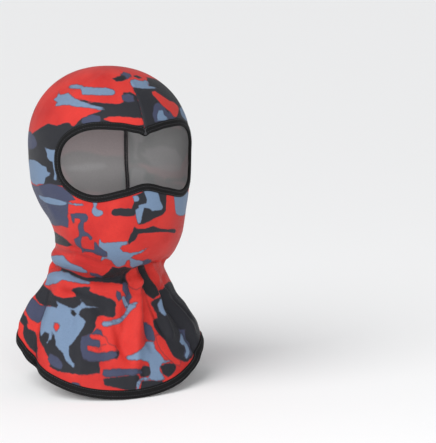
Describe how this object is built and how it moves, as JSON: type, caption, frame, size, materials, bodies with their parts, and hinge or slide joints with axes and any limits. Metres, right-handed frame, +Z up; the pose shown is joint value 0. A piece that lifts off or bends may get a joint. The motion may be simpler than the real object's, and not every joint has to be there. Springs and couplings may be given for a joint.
{
  "type": "full face stretch mask",
  "caption": "Stretch balaclava with one wide eye opening, folded elastic edge bindings and a flared neck cape, printed with camouflage.",
  "frame": {"origin": "head seat: the point inside the crown that rests on the top of the wearer's head", "axes": "+Z up out of the crown, -Y the way the face looks, +X to the wearer's left"},
  "size_m": [0.2156, 0.2031, 0.353],
  "materials": {
    "printed_jersey": "smooth stretch jersey with a red, charcoal and grey-blue camouflage print, faded grey on its wrong side",
    "elastic_binding": "black folded elastic tape with a fine rib",
    "sewing_thread": "black textured polyester sewing thread"
  },
  "bodies": {
    "root": {"hood_cloth": "printed_jersey", "eye_binding": "elastic_binding", "hem_binding": "elastic_binding", "eye_binding_needle_thread_1": "sewing_thread", "eye_binding_needle_thread_2": "sewing_thread", "eye_binding_looper_thread": "sewing_thread", "hem_binding_needle_thread_1": "sewing_thread", "hem_binding_needle_thread_2": "sewing_thread", "hem_binding_looper_thread": "sewing_thread", "centre_seam_needle_thread": "sewing_thread", "centre_seam_upper_looper_thread": "sewing_thread", "centre_seam_lower_looper_thread": "sewing_thread", "brow_bar_tack": "sewing_thread", "back_bar_tack": "sewing_thread"}
  },
  "joints": []
}
